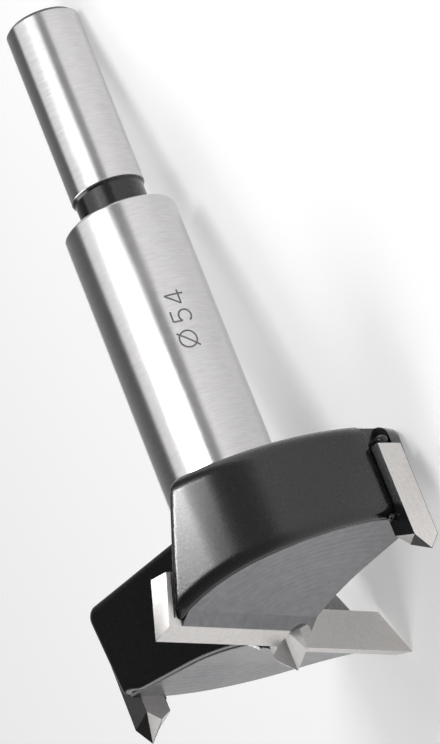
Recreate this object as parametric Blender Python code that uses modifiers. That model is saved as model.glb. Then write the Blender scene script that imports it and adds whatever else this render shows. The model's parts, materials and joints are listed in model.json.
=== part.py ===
"""Forstner bit with two carbide cutting plates, two carbide spurs and a carbide centre point.

The tool is modelled along its own axis: z runs from the end of the shank to the tip, and the first
cutting plate lies along +x. Seen from the tip the tool turns counter-clockwise, so each lobe of the
head trails clockwise behind its plate. The finished tool is then laid down as it rests on a bench.
"""
import math

import bmesh
import bpy
from mathutils import Matrix, Vector
from mathutils.geometry import intersect_point_tri

# Driving dimensions, in metres, and angles, in degrees
SHANK_DIAMETER = 0.0100
SHANK_LENGTH = 0.0257
SHANK_CHAMFER = 0.0005
NECK_DIAMETER = 0.0093
NECK_LENGTH = 0.0043
NECK_RELIEF = 0.0003
BODY_DIAMETER = 0.0152
BODY_LENGTH = 0.0434
BODY_CHAMFER = 0.00035
BODY_FILLET = 0.0010

CUTTING_DIAMETER = 0.0540
HEAD_LENGTH = 0.0180
HEAD_CLEARANCE = 0.0013
HEAD_RIM_RADIUS = 0.0018

RAKE_ANGLE = 19.5
LEAD_SETBACK = 0.0018
TRAIL_LEAN = 8.7
TRAIL_SWEEP = 11.7
GULLET_ROOT_RADIUS = 0.0020

PLATE_THICKNESS = 0.0021
PLATE_HEIGHT = 0.0071
PLATE_CLEARANCE_ANGLE = 20.0
PLATE_END_RELIEF_ANGLE = 4.0
PLATE_INNER_END = 0.0022
PLATE_CHIP_SLOT = 0.0005

RIDGE_DROP = 0.0009
HEEL_BAND_WIDTH = 0.0016
HEEL_BAND_ANGLE = 35.0
RELIEF_START_ANGLE = 18.0
RELIEF_END_ANGLE = 4.6
RELIEF_RADIUS = 0.0460

SPUR_WIDTH = 0.0043
SPUR_THICKNESS = 0.0029
SPUR_LENGTH = 0.0146
SPUR_REACH = 0.0002
SPUR_POINT_HEIGHT = 0.0020
SPUR_POINT_LEAN = 0.0020
SPUR_SIDE_SHARE = 0.6
SPUR_ANGLE = 83.3
SPUR_LEAD_GROOVE = 0.0006

POINT_HALF_DIAGONAL = 0.0022
POINT_LENGTH = 0.0098
POINT_REACH = 0.0034
POINT_BAR_TURN = -38.5
POINT_FACET_TURN = -32.5
POINT_FACET_SPREAD = 25.0
POINT_FACET_ANGLE = 21.0

SEAT_GAP = 0.0003
REST_ANGLE = 225.0
CUTTER_OVERRUN = 0.0030
BLANK_ALLOWANCE = 0.0002
MERGE_DISTANCE = 0.00001
SMOOTH_ANGLE = 25.0
TURNED_STEPS = 112
ROOT_STEPS = 6
RELIEF_STEPS = 9
FILLET_STEPS = 5

# Heights along the axis
NECK_START = SHANK_LENGTH
SHOULDER_HEIGHT = SHANK_LENGTH + NECK_LENGTH
HEAD_BACK = SHOULDER_HEIGHT + BODY_LENGTH
CUTTING_HEIGHT = HEAD_BACK + HEAD_LENGTH
RIDGE_HEIGHT = CUTTING_HEIGHT - RIDGE_DROP
SPUR_TIP_HEIGHT = CUTTING_HEIGHT + SPUR_REACH
SPUR_BACK_HEIGHT = SPUR_TIP_HEIGHT - SPUR_LENGTH
POINT_TIP_HEIGHT = CUTTING_HEIGHT + POINT_REACH
POINT_BOTTOM = POINT_TIP_HEIGHT - POINT_LENGTH

BODY_RADIUS = BODY_DIAMETER / 2
CUTTING_RADIUS = CUTTING_DIAMETER / 2
HEAD_RADIUS = CUTTING_RADIUS - HEAD_CLEARANCE
SPUR_OUTER_FACE = math.sqrt(CUTTING_RADIUS ** 2 - (SPUR_WIDTH / 2) ** 2)
RAKE_SLOPE = math.tan(math.radians(RAKE_ANGLE))
CUTTER_REACH = CUTTING_DIAMETER
CUTTER_TOP = POINT_TIP_HEIGHT + CUTTER_OVERRUN
CUTTER_BOTTOM = HEAD_BACK - CUTTER_OVERRUN
BLANK_TOP = RIDGE_HEIGHT + BLANK_ALLOWANCE


def clear_scene():
    for item in list(bpy.data.objects):
        bpy.data.objects.remove(item, do_unlink=True)


def make_collection(name):
    collection = bpy.data.collections.new(name)
    bpy.context.scene.collection.children.link(collection)
    return collection


def make_material(name, color, roughness, metallic):
    material = bpy.data.materials.new(name)
    material.use_nodes = True
    shader = material.node_tree.nodes["Principled BSDF"]
    shader.inputs["Base Color"].default_value = (*color, 1.0)
    shader.inputs["Roughness"].default_value = roughness
    shader.inputs["Metallic"].default_value = metallic
    return material


def object_from_bmesh(name, shape, collection):
    bmesh.ops.recalc_face_normals(shape, faces=shape.faces)
    mesh = bpy.data.meshes.new(name)
    shape.to_mesh(mesh)
    shape.free()
    mesh.shade_smooth()
    mesh.set_sharp_from_angle(angle=math.radians(SMOOTH_ANGLE))
    item = bpy.data.objects.new(name, mesh)
    collection.objects.link(item)
    return item


def make_cutter(item):
    item.hide_render = True
    item.display_type = "WIRE"
    return item


def cut(item, cutter):
    modifier = item.modifiers.new("cut by " + cutter.name, "BOOLEAN")
    modifier.operation = "DIFFERENCE"
    modifier.object = cutter


def loft(name, loops, collection):
    """Closes a solid between outlines that have the same number of points."""
    shape = bmesh.new()
    rings = [[shape.verts.new(point) for point in loop] for loop in loops]
    count = len(rings[0])
    for lower, upper in zip(rings, rings[1:]):
        for i in range(count):
            j = (i + 1) % count
            shape.faces.new((lower[i], lower[j], upper[j], upper[i]))
    shape.faces.new(rings[0])
    shape.faces.new(rings[-1])
    return object_from_bmesh(name, shape, collection)


def arc_points(center, radius, start, end, steps):
    """Points of an arc in a plane, with its angles in degrees, both ends included."""
    points = []
    for i in range(steps + 1):
        angle = math.radians(start + (end - start) * i / steps)
        points.append((center[0] + radius * math.cos(angle), center[1] + radius * math.sin(angle)))
    return points


def rounded_corner(before, corner, after, radius, steps):
    """The arc that rounds the corner of a plane outline."""
    to_before = (Vector(before) - Vector(corner)).normalized()
    to_after = (Vector(after) - Vector(corner)).normalized()
    half = to_before.angle(to_after) / 2
    bisector = (to_before + to_after).normalized()
    center = Vector(corner) + bisector * radius / math.sin(half)
    start = Vector(corner) + to_before * radius / math.tan(half) - center
    end = Vector(corner) + to_after * radius / math.tan(half) - center
    turn = start.angle_signed(end)
    return [center + Matrix.Rotation(-turn * i / steps, 2) @ start for i in range(steps + 1)]


def rake_offset(height):
    """How far the raked leading face lies behind the cutting edge at a height."""
    return (CUTTING_HEIGHT - height) * RAKE_SLOPE


def relief_profile():
    """The underside of a lobe as (distance behind the cutting edge, height) points."""
    heel = PLATE_THICKNESS / math.cos(math.radians(RAKE_ANGLE))
    band_end = heel + HEEL_BAND_WIDTH
    band_height = RIDGE_HEIGHT - HEEL_BAND_WIDTH * math.tan(math.radians(HEEL_BAND_ANGLE))
    start = math.radians(RELIEF_START_ANGLE)
    end = math.radians(RELIEF_END_ANGLE)
    points = [(0.0, RIDGE_HEIGHT), (heel, RIDGE_HEIGHT)]
    for i in range(RELIEF_STEPS + 1):
        angle = start + (end - start) * i / RELIEF_STEPS
        distance = band_end + RELIEF_RADIUS * (math.sin(start) - math.sin(angle))
        height = band_height - RELIEF_RADIUS * (math.cos(angle) - math.cos(start))
        points.append((distance, height))
    last_distance, last_height = points[-1]
    run = CUTTER_REACH - last_distance
    points.append((CUTTER_REACH, last_height - run * math.tan(end)))
    return points


def turned_profile():
    """Half section of the blank, down its outer side from the cutting end to the shank's end."""
    rim_center = (HEAD_RADIUS - HEAD_RIM_RADIUS, HEAD_BACK + HEAD_RIM_RADIUS)
    shoulder_edge = BODY_RADIUS - BODY_CHAMFER
    neck_radius = NECK_DIAMETER / 2
    shank_radius = SHANK_DIAMETER / 2
    points = [(0.0, BLANK_TOP), (HEAD_RADIUS, BLANK_TOP)]
    points += arc_points(rim_center, HEAD_RIM_RADIUS, 0, -90, FILLET_STEPS)
    fillet_center = (BODY_RADIUS + BODY_FILLET, HEAD_BACK - BODY_FILLET)
    points += arc_points(fillet_center, BODY_FILLET, 90, 180, FILLET_STEPS)
    points += [
        (BODY_RADIUS, SHOULDER_HEIGHT + BODY_CHAMFER),
        (shoulder_edge, SHOULDER_HEIGHT),
        (neck_radius, SHOULDER_HEIGHT),
        (neck_radius, NECK_START + NECK_RELIEF),
        (shank_radius, NECK_START),
        (shank_radius, SHANK_CHAMFER),
        (shank_radius - SHANK_CHAMFER, 0.0),
        (0.0, 0.0),
    ]
    return points


def finished_mesh(item):
    """The mesh of an object as its modifiers leave it."""
    bpy.context.view_layer.update()
    graph = bpy.context.evaluated_depsgraph_get()
    return bpy.data.meshes.new_from_object(item.evaluated_get(graph))


def turned_solid(name, profile, collection):
    mesh = bpy.data.meshes.new(name)
    mesh.from_pydata([(radius, 0.0, height) for radius, height in profile],
                     [(i, i + 1) for i in range(len(profile) - 1)], [])
    outline = bpy.data.objects.new(name + "_outline", mesh)
    collection.objects.link(outline)
    screw = outline.modifiers.new("turned", "SCREW")
    screw.steps = TURNED_STEPS
    screw.render_steps = TURNED_STEPS
    screw.use_merge_vertices = True
    screw.merge_threshold = MERGE_DISTANCE
    turned = finished_mesh(outline)
    bpy.data.objects.remove(outline, do_unlink=True)
    turned.shade_smooth()
    turned.set_sharp_from_angle(angle=math.radians(SMOOTH_ANGLE))
    item = bpy.data.objects.new(name, turned)
    collection.objects.link(item)
    return item


def gullet_cutter(name, turn, collection):
    """The chip space ahead of a plate, between its raked face and the back of the other lobe."""
    sweep = math.radians(TRAIL_SWEEP)
    setback = LEAD_SETBACK / math.cos(math.radians(RAKE_ANGLE))
    loops = []
    for height in (CUTTER_BOTTOM, CUTTER_TOP):
        lead_y = -rake_offset(height) - setback
        wall = BODY_RADIUS - (height - HEAD_BACK) * math.tan(math.radians(TRAIL_LEAN))
        trail_x = wall / math.cos(sweep)
        root = (trail_x - lead_y * math.tan(sweep), lead_y)
        lead_end = (CUTTER_REACH, lead_y)
        trail_end = (trail_x - CUTTER_REACH * math.tan(sweep), CUTTER_REACH)
        outline = rounded_corner(trail_end, root, lead_end, GULLET_ROOT_RADIUS, ROOT_STEPS)
        outline += [Vector(lead_end), Vector((CUTTER_REACH, CUTTER_REACH)), Vector(trail_end)]
        loops.append([(point.x, point.y, height) for point in outline])
    item = loft(name, loops, collection)
    item.rotation_euler.z = turn
    return make_cutter(item)


def relief_cutter(name, turn, collection):
    """Everything past the relieved underside of one lobe."""
    profile = relief_profile() + [(CUTTER_REACH, CUTTER_TOP), (0.0, CUTTER_TOP)]
    loops = [[(side * CUTTER_REACH, -distance, height) for distance, height in profile]
             for side in (-1, 1)]
    item = loft(name, loops, collection)
    item.rotation_euler.z = turn
    return make_cutter(item)


def plate_section(front, back, bottom, top_front, top_back):
    """Section of a raked plate or its pocket: (distance behind the edge, height) corners."""
    slant = 1 / math.cos(math.radians(RAKE_ANGLE))
    return [
        (rake_offset(top_front) + front * slant, top_front),
        (rake_offset(top_back) + back * slant, top_back),
        (rake_offset(bottom) + back * slant, bottom),
        (rake_offset(bottom) + front * slant, bottom),
    ]


def pocket_cutter(name, turn, collection):
    """The seat of a cutting plate, open ahead by a narrow chip slot."""
    section = plate_section(-PLATE_CHIP_SLOT, PLATE_THICKNESS + SEAT_GAP,
                            CUTTING_HEIGHT - PLATE_HEIGHT - SEAT_GAP, CUTTER_TOP, CUTTER_TOP)
    loops = [[(reach, -distance, height) for distance, height in section]
             for reach in (PLATE_INNER_END - SEAT_GAP, CUTTER_REACH)]
    item = loft(name, loops, collection)
    item.rotation_euler.z = turn
    return make_cutter(item)


def cutting_plate(name, turn, collection):
    clearance = PLATE_THICKNESS * math.tan(math.radians(PLATE_CLEARANCE_ANGLE))
    section = plate_section(0.0, PLATE_THICKNESS, CUTTING_HEIGHT - PLATE_HEIGHT,
                            CUTTING_HEIGHT, CUTTING_HEIGHT - clearance)
    end_relief = math.tan(math.radians(PLATE_END_RELIEF_ANGLE))
    inner_loop = [(PLATE_INNER_END, -distance, height) for distance, height in section]
    outer_loop = []
    for distance, height in section:
        outer = math.sqrt(CUTTING_RADIUS ** 2 - distance ** 2)
        drop = (distance - rake_offset(height)) * end_relief
        outer_loop.append((outer - drop, -distance, height))
    item = loft(name, [inner_loop, outer_loop], collection)
    item.rotation_euler.z = turn
    return item


def spur_loops(radius_outer, radius_inner):
    """Outlines of a spur's outer and inner faces: a bar whose ground point leans inwards."""
    half = SPUR_WIDTH / 2
    loops = []
    for radius, lean in ((radius_outer, 0.0), (radius_inner, SPUR_POINT_LEAN)):
        side_height = SPUR_TIP_HEIGHT - SPUR_POINT_HEIGHT - SPUR_SIDE_SHARE * lean
        loops.append([
            (radius, -half, SPUR_BACK_HEIGHT),
            (radius, half, SPUR_BACK_HEIGHT),
            (radius, half, side_height),
            (radius, 0.0, SPUR_TIP_HEIGHT - lean),
            (radius, -half, side_height),
        ])
    return loops


def spur(name, turn, collection):
    loops = spur_loops(SPUR_OUTER_FACE, SPUR_OUTER_FACE - SPUR_THICKNESS)
    item = loft(name, loops, collection)
    item.rotation_euler.z = turn - math.radians(SPUR_ANGLE)
    return item


def spur_slot_cutter(name, turn, collection):
    """The slot that seats a spur, open at both ends, with a groove on the spur's leading side."""
    lead = SPUR_WIDTH / 2 + SPUR_LEAD_GROOVE
    trail = -SPUR_WIDTH / 2 - SEAT_GAP
    inner = SPUR_OUTER_FACE - SPUR_THICKNESS - SEAT_GAP
    low = Vector((inner, trail, CUTTER_BOTTOM))
    high = Vector((CUTTER_REACH, lead, CUTTER_TOP))
    size = high - low
    center = (high + low) / 2
    shape = bmesh.new()
    bmesh.ops.create_cube(shape, size=1.0)
    bmesh.ops.transform(shape, verts=shape.verts,
                        matrix=Matrix.Translation(center) @ Matrix.Diagonal((*size, 1.0)))
    item = object_from_bmesh(name, shape, collection)
    item.rotation_euler.z = turn - math.radians(SPUR_ANGLE)
    return make_cutter(item)


def square_bar(name, half_diagonal, bottom, top, collection):
    shape = bmesh.new()
    bmesh.ops.create_cone(shape, cap_ends=True, segments=4, radius1=half_diagonal,
                          radius2=half_diagonal, depth=top - bottom)
    bmesh.ops.translate(shape, verts=shape.verts, vec=(0.0, 0.0, (top + bottom) / 2))
    item = object_from_bmesh(name, shape, collection)
    item.rotation_euler.z = math.radians(POINT_BAR_TURN)
    return item


def center_point(name, collection):
    """A square bar ground to a flattened four-sided point."""
    item = square_bar(name, POINT_HALF_DIAGONAL, POINT_BOTTOM, CUTTER_TOP, collection)
    tip = Vector((0.0, 0.0, POINT_TIP_HEIGHT))
    lean = math.radians(POINT_FACET_ANGLE)
    flat = POINT_FACET_TURN - POINT_BAR_TURN
    shape = bmesh.new()
    shape.from_mesh(item.data)
    for side in (flat, flat + 180.0):
        for spread in (-POINT_FACET_SPREAD, POINT_FACET_SPREAD):
            facing = math.radians(side + spread)
            across = math.cos(lean)
            normal = Vector((math.cos(facing) * across, math.sin(facing) * across, math.sin(lean)))
            sliced = bmesh.ops.bisect_plane(shape, geom=shape.verts[:] + shape.edges[:] + shape.faces[:],
                                            plane_co=tip, plane_no=normal, clear_outer=True)
            rim = [part for part in sliced["geom_cut"] if isinstance(part, bmesh.types.BMEdge)]
            bmesh.ops.edgeloop_fill(shape, edges=rim)
    bmesh.ops.remove_doubles(shape, verts=shape.verts, dist=MERGE_DISTANCE)
    bmesh.ops.recalc_face_normals(shape, faces=shape.faces)
    shape.to_mesh(item.data)
    shape.free()
    return item


def point_socket_cutter(name, collection):
    bottom = POINT_BOTTOM - SEAT_GAP
    half_diagonal = POINT_HALF_DIAGONAL + SEAT_GAP * math.sqrt(2)
    return make_cutter(square_bar(name, half_diagonal, bottom, CUTTER_TOP, collection))


def triangles_in_tool_frame(pieces):
    """Every triangle of the finished pieces, as three points each."""
    bpy.context.view_layer.update()
    graph = bpy.context.evaluated_depsgraph_get()
    triangles = []
    for piece in pieces:
        shown = piece.evaluated_get(graph)
        shown.data.calc_loop_triangles()
        points = [shown.matrix_world @ vertex.co for vertex in shown.data.vertices]
        triangles += [[points[i] for i in triangle.vertices] for triangle in shown.data.loop_triangles]
    return triangles


def center_of_mass(triangles):
    moment = Vector((0.0, 0.0, 0.0))
    volume = 0.0
    for first, second, third in triangles:
        wedge = first.dot(second.cross(third)) / 6
        moment += (first + second + third) / 4 * wedge
        volume += wedge
    return moment / volume


def resting_direction(triangles):
    """The direction, in the tool's frame, that points straight down when the tool lies at rest.

    A solid rests on a face of its convex hull that lies under its centre of mass. Of those faces
    this takes the one that turns a gullet most nearly down.
    """
    rest = math.radians(REST_ANGLE)
    gullet = Vector((math.cos(rest), math.sin(rest), 0.0))
    center = center_of_mass(triangles)
    hull = bmesh.new()
    for corner in {tuple(point) for triangle in triangles for point in triangle}:
        hull.verts.new(corner)
    bmesh.ops.convex_hull(hull, input=hull.verts)
    bmesh.ops.triangulate(hull, faces=hull.faces)
    hull.normal_update()
    resting = []
    for face in hull.faces:
        corners = [vertex.co for vertex in face.verts]
        if intersect_point_tri(center, *corners):
            outward = face.normal.copy()
            if outward.dot(corners[0] - center) < 0:
                outward.negate()
            resting.append(outward)
    hull.free()
    return max(resting, key=gullet.dot)


def lay_down(pieces, cutters):
    """Parents everything to an empty that lays the tool on its rest, its tip towards +x."""
    triangles = triangles_in_tool_frame(pieces)
    up = -resting_direction(triangles)
    along = (Vector((0.0, 0.0, 1.0)) - up * up.z).normalized()
    side = up.cross(along)
    rotation = Matrix((along, side, up))
    placed = [rotation @ point for triangle in triangles for point in triangle]
    low = [min(point[axis] for point in placed) for axis in range(3)]
    high = [max(point[axis] for point in placed) for axis in range(3)]
    shift = Vector((-(low[0] + high[0]) / 2, -(low[1] + high[1]) / 2, -low[2]))
    empty = bpy.data.objects.new("forstner_bit_axis", None)
    bpy.context.scene.collection.objects.link(empty)
    for item in pieces + list(cutters.objects):
        item.parent = empty
    empty.matrix_world = Matrix.Translation(shift) @ rotation.to_4x4()
    bpy.context.view_layer.update()


def build():
    clear_scene()
    parts = make_collection("forstner_bit")
    cutters = make_collection("cutters")
    steel = make_material("tool_steel", (0.35, 0.35, 0.36), 0.3, 1.0)
    carbide = make_material("carbide", (0.42, 0.41, 0.40), 0.4, 1.0)

    body = turned_solid("body", turned_profile(), parts)
    lobes = (("a", 0.0), ("b", math.pi))
    for letter, turn in lobes:
        cut(body, relief_cutter("relief_" + letter, turn, cutters))
    for letter, turn in lobes:
        cut(body, gullet_cutter("gullet_" + letter, turn, cutters))
    for letter, turn in lobes:
        cut(body, pocket_cutter("plate_pocket_" + letter, turn, cutters))
        cut(body, spur_slot_cutter("spur_slot_" + letter, turn, cutters))
    cut(body, point_socket_cutter("point_socket", cutters))
    body.data.materials.append(steel)

    pieces = [body]
    for letter, turn in lobes:
        pieces.append(cutting_plate("cutting_plate_" + letter, turn, parts))
        pieces.append(spur("spur_" + letter, turn, parts))
    pieces.append(center_point("center_point", parts))
    for piece in pieces[1:]:
        piece.data.materials.append(carbide)
    lay_down(pieces, cutters)


build()
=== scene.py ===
import json
import math

import bmesh
import bpy
import numpy as np
from mathutils import Matrix, Vector


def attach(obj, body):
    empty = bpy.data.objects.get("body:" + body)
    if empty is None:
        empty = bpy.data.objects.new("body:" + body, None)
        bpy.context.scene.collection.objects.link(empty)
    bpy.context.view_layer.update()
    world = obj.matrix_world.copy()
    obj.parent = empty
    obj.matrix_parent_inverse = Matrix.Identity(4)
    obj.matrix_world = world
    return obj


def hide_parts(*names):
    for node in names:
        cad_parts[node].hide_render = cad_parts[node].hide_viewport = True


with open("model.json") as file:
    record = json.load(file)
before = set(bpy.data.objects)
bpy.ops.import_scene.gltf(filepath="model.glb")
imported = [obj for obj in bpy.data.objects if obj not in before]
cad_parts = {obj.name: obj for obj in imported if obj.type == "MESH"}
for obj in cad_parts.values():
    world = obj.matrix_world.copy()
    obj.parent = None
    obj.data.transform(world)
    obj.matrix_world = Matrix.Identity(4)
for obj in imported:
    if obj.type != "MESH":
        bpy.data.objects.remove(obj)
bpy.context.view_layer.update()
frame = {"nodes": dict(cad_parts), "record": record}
mm = 0.001

# The tool's own frame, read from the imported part: z runs from the shank's end to the tip,
# and x points at the cutting corner of the first plate
mount = frame["record"]["mounts"][0]
toolOrigin = Vector(mount["pos_m"])
toolAxis = -Vector(mount["axis"]).normalized()


def cuttingCornerDirection(node):
    offsets = [v.co - toolOrigin for v in frame["nodes"][node].data.vertices]
    top = max(offset.dot(toolAxis) for offset in offsets)
    edge = [offset for offset in offsets if offset.dot(toolAxis) > top - 0.01 * mm]
    radial = [offset - toolAxis * offset.dot(toolAxis) for offset in edge]
    return max(radial, key=lambda offset: offset.length).normalized()


toolX = cuttingCornerDirection("cutting_plate_a")
toolY = toolAxis.cross(toolX)
toolTurned = Matrix((toolX, toolY, toolAxis)).transposed().to_4x4()
toolToWorld = Matrix.Translation(toolOrigin) @ toolTurned
turnB = Matrix.Rotation(math.pi, 4, "Z")
lobes = {"a": Matrix.Identity(4), "b": turnB}
print("tool frame found")

camera = dict(
    tilt=19.79,          # how far the tip leans towards the viewer
    roll=21.82,          # turn of the axis in the picture
    spin=-32.5,          # turn of the first plate about the axis
    distance=653.20,     # to the middle of the tool, in mm
    offset=(-7.67, -6.19),
    middle=45.0,         # height on the axis that the distance is taken to
    focal=5103.89,       # in pixels of a 744 pixel high picture
)


def toolInCamera(look):
    tilt, roll, spin = (math.radians(look[k]) for k in ("tilt", "roll", "spin"))
    flatShare = math.cos(tilt)
    along = Vector((math.sin(roll) * flatShare, math.cos(roll) * flatShare, -math.sin(tilt)))
    across = Vector((math.cos(roll), -math.sin(roll), 0.0))
    front = along.cross(across)
    plate = across * math.sin(spin) + front * math.cos(spin)
    turn = Matrix((plate, along.cross(plate), along)).transposed()
    place = Vector((*look["offset"], look["distance"])) - turn @ Vector((0, 0, look["middle"]))
    flip = Matrix.Diagonal((1, -1, -1))
    return Matrix.Translation(flip @ place * mm) @ (flip @ turn).to_4x4()


viewer = bpy.data.objects.new("viewer", bpy.data.cameras.new("viewer"))
bpy.context.scene.collection.objects.link(viewer)
viewer.matrix_world = toolToWorld @ toolInCamera(camera).inverted()
viewer.data.sensor_width = 36
viewer.data.lens = camera["focal"] * 36 / 744
viewer.data.clip_start = 0.02
viewer.data.clip_end = 20
bpy.context.scene.camera = viewer

# Lamps stand round the tool: turn is in degrees from the viewer's side, with the sky at minus 90,
# along is the share of the direction that runs towards the tip, glow is the lamp's own brightness.
# The two small wall lamps stand close, for the broad highlight on the head's near wall.
studio = dict(
    lamps=dict(
        keyLight=dict(turn=-36.0, along=-0.40, distance=0.62, width=0.12, length=0.36, glow=0.7),
        edgeLight=dict(turn=-17.0, along=-0.40, distance=0.62, width=0.15, length=0.36, glow=0.35),
        wideLight=dict(turn=-51.0, along=-0.44, distance=0.66, width=0.86, length=0.36, glow=1.0),
        fillLight=dict(turn=-100.0, along=0.62, distance=0.70, width=0.40, length=0.40, glow=3.4),
        wallLight=dict(turn=-36.0, along=-0.24, distance=0.30, width=0.15, length=0.026, glow=32.0),
        wallEdge=dict(turn=-15.0, along=-0.24, distance=0.30, width=0.075, length=0.026, glow=9.0),
    ),
    floorColor=0.74,
    floorGlow=0.34,
    skyLow=0.38,
    skyHigh=0.06,
)


def lightRoundTool(name, turn, along, distance, width, length, glow):
    middle = toolToWorld @ Vector((0, 0, camera["middle"] * mm))
    toViewer = viewer.matrix_world.translation - middle
    facing = (toViewer - toolAxis * toViewer.dot(toolAxis)).normalized()
    side = facing.cross(toolAxis)
    angle = math.radians(turn)
    outwards = facing * math.cos(angle) + side * math.sin(angle)
    back = (outwards * math.sqrt(1 - along * along) + toolAxis * along).normalized()
    data = bpy.data.lights.new(name, "AREA")
    data.shape = "RECTANGLE"
    data.size = width
    data.size_y = length
    data.energy = glow * math.pi * width * length
    lamp = bpy.data.objects.new(name, data)
    bpy.context.scene.collection.objects.link(lamp)
    lamp.visible_camera = False
    up = (toolAxis - back * toolAxis.dot(back)).normalized()
    lamp.matrix_world = Matrix.Translation(middle + back * distance) @ Matrix(
        (up.cross(back), up, back)).transposed().to_4x4()


for lampName, lampPlace in studio["lamps"].items():
    lightRoundTool(lampName, **lampPlace)

sky = bpy.data.worlds.new("studio_sky")
bpy.context.scene.world = sky
sky.use_nodes = True
skyNodes, skyLinks = sky.node_tree.nodes, sky.node_tree.links
skyCoord = skyNodes.new("ShaderNodeTexCoord")
skySplit = skyNodes.new("ShaderNodeSeparateXYZ")
skyRamp = skyNodes.new("ShaderNodeMapRange")
for socket, value in (("From Min", 0.0), ("From Max", 0.9),
                      ("To Min", studio["skyLow"]), ("To Max", studio["skyHigh"])):
    skyRamp.inputs[socket].default_value = value
skyLinks.new(skyCoord.outputs["Generated"], skySplit.inputs[0])
skyLinks.new(skySplit.outputs["Z"], skyRamp.inputs["Value"])
skyLinks.new(skyRamp.outputs[0], skyNodes["Background"].inputs["Color"])
print("camera and light set")


socketKinds = dict(vector="NodeSocketVector", number="NodeSocketFloat", count="NodeSocketInt",
                   material="NodeSocketMaterial")


def socketList(tree, direction, sockets):
    for label, kind, value in sockets:
        socket = tree.interface.new_socket(label, in_out=direction, socket_type=socketKinds[kind])
        if value is not None:
            socket.default_value = value


def shaderGroup(name, inputs, outputs):
    tree = bpy.data.node_groups.new(name, "ShaderNodeTree")
    socketList(tree, "INPUT", inputs)
    socketList(tree, "OUTPUT", outputs)
    return tree, tree.nodes.new("NodeGroupInput"), tree.nodes.new("NodeGroupOutput")


def mathNode(tree, operation, first, second=None, third=None, clamp=False):
    node = tree.nodes.new("ShaderNodeMath")
    node.operation = operation
    node.use_clamp = clamp
    for slot, value in enumerate((first, second, third)):
        if value is None:
            continue
        if isinstance(value, (int, float)):
            node.inputs[slot].default_value = value
        else:
            tree.links.new(value, node.inputs[slot])
    return node.outputs[0]


def vectorNode(tree, operation, first, second=None, scale=None):
    node = tree.nodes.new("ShaderNodeVectorMath")
    node.operation = operation
    for slot, value in enumerate((first, second)):
        if value is not None:
            tree.links.new(value, node.inputs[slot])
    if scale is not None:
        tree.links.new(scale, node.inputs["Scale"])
    return node.outputs["Value" if operation in ("DOT_PRODUCT", "LENGTH") else "Vector"]


# Places any point of the object in the tool's frame, in millimetres
toolTurn = toolToWorld.inverted()
toolPlace = bpy.data.node_groups.new("tool_place", "ShaderNodeTree")
toolPlace.interface.new_socket("Vector", in_out="OUTPUT", socket_type="NodeSocketVector")
placeCoord = toolPlace.nodes.new("ShaderNodeTexCoord")
placeMap = toolPlace.nodes.new("ShaderNodeMapping")
placeMap.vector_type = "POINT"
placeMap.inputs["Location"].default_value = toolTurn.translation / mm
placeMap.inputs["Rotation"].default_value = toolTurn.to_euler()
placeMap.inputs["Scale"].default_value = (1 / mm,) * 3
placeOut = toolPlace.nodes.new("NodeGroupOutput")
toolPlace.links.new(placeCoord.outputs["Object"], placeMap.inputs["Vector"])
toolPlace.links.new(placeMap.outputs["Vector"], placeOut.inputs[0])


def groupNode(tree, group, **values):
    node = tree.nodes.new("ShaderNodeGroup")
    node.node_tree = group
    for label, value in values.items():
        node.inputs[label].default_value = value
    return node


def noise(tree, vector, scale, detail=2.0, roughness=0.5):
    node = tree.nodes.new("ShaderNodeTexNoise")
    node.inputs["Scale"].default_value = scale
    node.inputs["Detail"].default_value = detail
    node.inputs["Roughness"].default_value = roughness
    tree.links.new(vector, node.inputs["Vector"])
    return node.outputs["Fac"]


# Fine grinding lines: long along two axes of the pattern and close together along the third
grindLines, grindIn, grindOut = shaderGroup(
    "grind_lines",
    [("Vector", "vector", None), ("Spacing", "number", 12.0), ("Length", "number", 0.35)],
    [("Height", "number", None), ("Cloud", "number", None)])
combine = grindLines.nodes.new("ShaderNodeCombineXYZ")
grindLines.links.new(grindIn.outputs["Length"], combine.inputs[0])
grindLines.links.new(grindIn.outputs["Length"], combine.inputs[1])
grindLines.links.new(grindIn.outputs["Spacing"], combine.inputs[2])
scaled = grindLines.nodes.new("ShaderNodeVectorMath")
scaled.operation = "MULTIPLY"
grindLines.links.new(grindIn.outputs["Vector"], scaled.inputs[0])
grindLines.links.new(combine.outputs[0], scaled.inputs[1])
lines = noise(grindLines, scaled.outputs[0], 1.0, 4.0, 0.65)
cloud = noise(grindLines, grindIn.outputs["Vector"], 0.14, 3.0, 0.5)
grindLines.links.new(lines, grindOut.inputs["Height"])
grindLines.links.new(cloud, grindOut.inputs["Cloud"])

# Small nicks and dust that break up an even surface
speckle, speckleIn, speckleOut = shaderGroup(
    "speckle",
    [("Vector", "vector", None), ("Scale", "number", 8.0), ("Amount", "number", 0.5)],
    [("Mask", "number", None)])
grain = speckle.nodes.new("ShaderNodeTexNoise")
grain.inputs["Detail"].default_value = 5.0
grain.inputs["Roughness"].default_value = 0.7
speckle.links.new(speckleIn.outputs["Vector"], grain.inputs["Vector"])
speckle.links.new(speckleIn.outputs["Scale"], grain.inputs["Scale"])
centred = mathNode(speckle, "SUBTRACT", grain.outputs["Fac"], 0.5)
centred = mathNode(speckle, "MULTIPLY", centred, speckleIn.outputs["Amount"])
speckle.links.new(centred, speckleOut.inputs["Mask"])


def newMaterial(name):
    material = bpy.data.materials.new(name)
    material.use_nodes = True
    tree = material.node_tree
    shader = tree.nodes["Principled BSDF"]
    place = groupNode(tree, toolPlace).outputs[0]
    return material, tree, shader, place


def blendColor(tree, factor, dark, light):
    node = tree.nodes.new("ShaderNodeMix")
    node.data_type = "RGBA"
    tree.links.new(factor, node.inputs["Factor"])
    node.inputs["A"].default_value = (*dark, 1.0)
    node.inputs["B"].default_value = (*light, 1.0)
    return node.outputs["Result"]


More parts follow.
